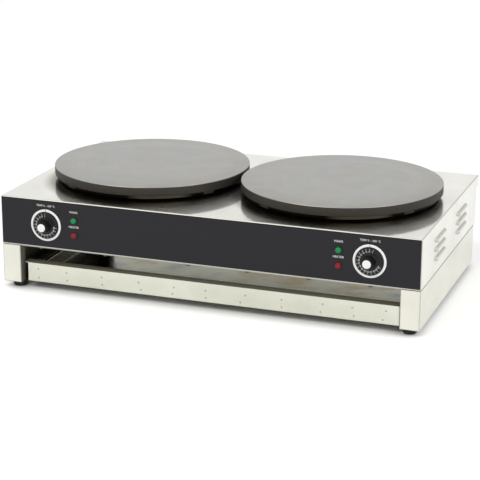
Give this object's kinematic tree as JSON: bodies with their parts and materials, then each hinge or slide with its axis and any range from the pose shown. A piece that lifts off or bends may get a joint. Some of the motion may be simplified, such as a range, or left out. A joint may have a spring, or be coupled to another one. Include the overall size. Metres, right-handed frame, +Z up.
{
  "type": "electric crepe maker",
  "caption": "Double electric crepe maker: round cast iron griddle plates on a folded steel casing with rotary thermostats, over a frame with a sliding warming drawer.",
  "frame": {"origin": "on the table, at the middle of the overall width and depth", "axes": "+Z up, +X to the right as seen from the front, the front faces -Y"},
  "size_m": [0.864, 0.51, 0.22],
  "materials": {
    "stainless_steel": "brushed",
    "mill_steel": "mill finish",
    "galvanised_steel": "dull",
    "front_film": "satin printed film",
    "foot_rubber": "matt",
    "fastener_steel": "plated",
    "cast_iron": "ground and seasoned",
    "heater_tube": "oxidised",
    "ceramic_wool": "felted",
    "pan_steel": "bright",
    "thermostat_body": "moulded",
    "copper": "drawn",
    "wire_sleeve": "braided glass sleeve",
    "terminal_plastic": "moulded",
    "gland_plastic": "moulded",
    "green_lens": "clear tinted",
    "red_lens": "clear tinted",
    "white_plastic": "moulded",
    "knob_plastic": "moulded"
  },
  "bodies": {
    "frame": {"top_casing": "stainless_steel", "front_overlay": "front_film", "rear_cover": "stainless_steel", "bottom_cover": "mill_steel", "base_side_left": "stainless_steel", "base_side_right": "stainless_steel", "base_crossbar": "mill_steel", "foot_front_left": "foot_rubber", "foot_front_right": "foot_rubber", "foot_rear_left": "foot_rubber", "foot_rear_right": "foot_rubber", "foot_screws": "fastener_steel", "foot_nuts": "fastener_steel", "cover_screws": "fastener_steel", "rear_screws": "fastener_steel", "drawer_rail_left": "galvanised_steel", "drawer_rail_right": "galvanised_steel", "plate_left": "cast_iron", "plate_right": "cast_iron", "element_left": "heater_tube", "element_right": "heater_tube", "clamp_plate_left": "galvanised_steel", "clamp_plate_right": "galvanised_steel", "insulation_left": "ceramic_wool", "insulation_right": "ceramic_wool", "heat_pan_left": "pan_steel", "heat_pan_right": "pan_steel", "pillars_left": "fastener_steel", "pillars_right": "fastener_steel", "pillar_nuts": "fastener_steel", "thermostat_left": "thermostat_body", "thermostat_right": "thermostat_body", "thermostat_screws": "fastener_steel", "sensor_left": "copper", "sensor_right": "copper", "wiring_left": "wire_sleeve", "wiring_right": "wire_sleeve", "terminal_block_left": "terminal_plastic", "terminal_block_right": "terminal_plastic", "cable_gland_left": "gland_plastic", "cable_gland_right": "gland_plastic", "gland_nuts": "gland_plastic", "power_lamp_left": "green_lens", "power_lamp_right": "green_lens", "heat_lamp_left": "red_lens", "heat_lamp_right": "red_lens", "lamp_bodies": "gland_plastic", "dial_ring_left": "white_plastic", "dial_ring_right": "white_plastic"},
    "drawer": {"drawer_tray": "mill_steel", "drawer_front": "stainless_steel"},
    "dial_knob_left": {"knob_left": "knob_plastic", "knob_cap_left": "white_plastic", "shaft_left": "fastener_steel"},
    "dial_knob_right": {"knob_right": "knob_plastic", "knob_cap_right": "white_plastic", "shaft_right": "fastener_steel"}
  },
  "joints": [
    {"name": "drawer_slide", "type": "slide", "parent": "frame", "child": "drawer", "axis": [0, -1, 0], "range_m": [0, 0.36]},
    {"name": "dial_left_turn", "type": "hinge", "parent": "frame", "child": "dial_knob_left", "pos_m": [-0.329, -0.243, 0.1385], "axis": [0, 1, 0], "range_deg": [0, 262]},
    {"name": "dial_right_turn", "type": "hinge", "parent": "frame", "child": "dial_knob_right", "pos_m": [0.329, -0.243, 0.1385], "axis": [0, 1, 0], "range_deg": [-18, 244]}
  ]
}
